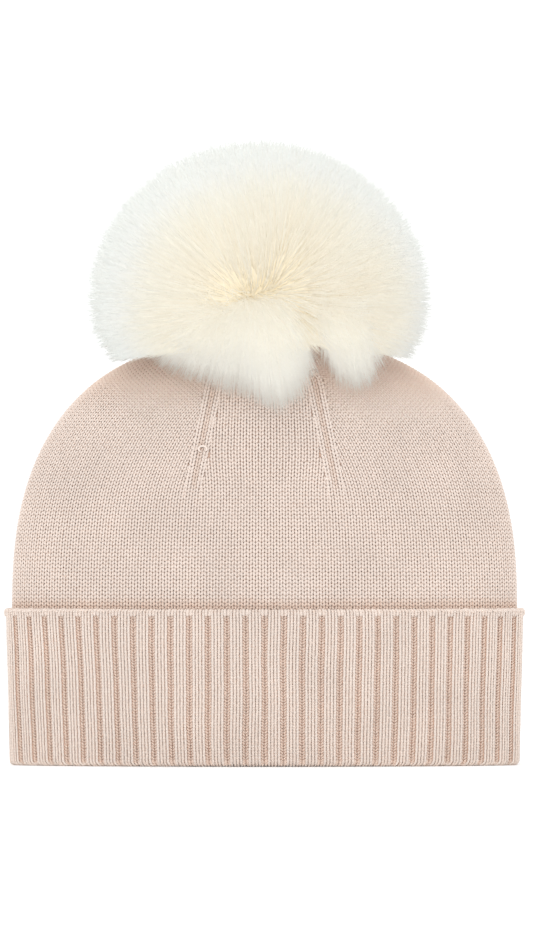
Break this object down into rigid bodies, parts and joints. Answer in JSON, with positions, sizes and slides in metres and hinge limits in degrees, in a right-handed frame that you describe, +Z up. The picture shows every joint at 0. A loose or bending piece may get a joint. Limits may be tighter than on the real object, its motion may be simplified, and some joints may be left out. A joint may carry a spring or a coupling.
{
  "type": "pom pom beanie",
  "caption": "Knitted beanie with a ribbed turn-up cuff, a jersey crown and a fur pom pom on a snap fastener.",
  "frame": {"origin": "centre of the opening, on the flat rim at the bottom of the folded cuff", "axes": "+Z up through the crown and the pom, -Y towards the wearer's face, +X to the viewer's right when seen from the front"},
  "size_m": [0.216, 0.138, 0.2575],
  "materials": {
    "rib_knit": "soft brushed 2x1 rib in fine wool yarn",
    "jersey_knit": "soft jersey in the same yarn, matt",
    "sewing_yarn": "twisted yarn, matt",
    "satin_label": "woven satin tape, slight sheen",
    "felt": "pressed felt, matt",
    "snap_brass": "satin pale brass",
    "spring_wire": "bright drawn wire",
    "pom_backing_cloth": "knitted pile backing, matt",
    "fibrefill": "loose polyester fibre",
    "fur_pile": "long soft ivory pile, warmer at the roots"
  },
  "bodies": {
    "cuff": {"cuff_turn_up": "rib_knit"},
    "crown": {"crown_shell": "jersey_knit", "rib_band": "rib_knit", "back_seam_yarn": "sewing_yarn", "crown_gather_yarn": "sewing_yarn", "label_stitching": "sewing_yarn", "felt_washer": "felt", "snap_post": "snap_brass", "snap_stud": "snap_brass"},
    "label": {"care_label": "satin_label"},
    "snap_ring": {"snap_spring": "spring_wire"},
    "pom": {"snap_socket": "snap_brass", "snap_cap": "snap_brass", "pom_base_disc": "pom_backing_cloth", "pom_gather_yarn": "sewing_yarn", "pom_core": "fibrefill", "pom_backing": "pom_backing_cloth", "pom_fur": "fur_pile"}
  },
  "joints": [
    {"name": "cuff_turn_down", "type": "slide", "parent": "cuff", "child": "crown", "axis": [0, 0, 1], "range_m": [0, 0.057]},
    {"name": "label_lift", "type": "hinge", "parent": "crown", "child": "label", "pos_m": [0.0135, 0.0271, 0.084], "axis": [-1, 0, 0], "range_deg": [0, 70]},
    {"name": "pom_pull_off", "type": "slide", "parent": "crown", "child": "snap_ring", "axis": [0, 0, 1], "range_m": [0, 0.03]},
    {"name": "pom_swivel", "type": "hinge", "parent": "snap_ring", "child": "pom", "pos_m": [0, 0, 0.18], "axis": [0, 0, 1], "continuous": true}
  ]
}
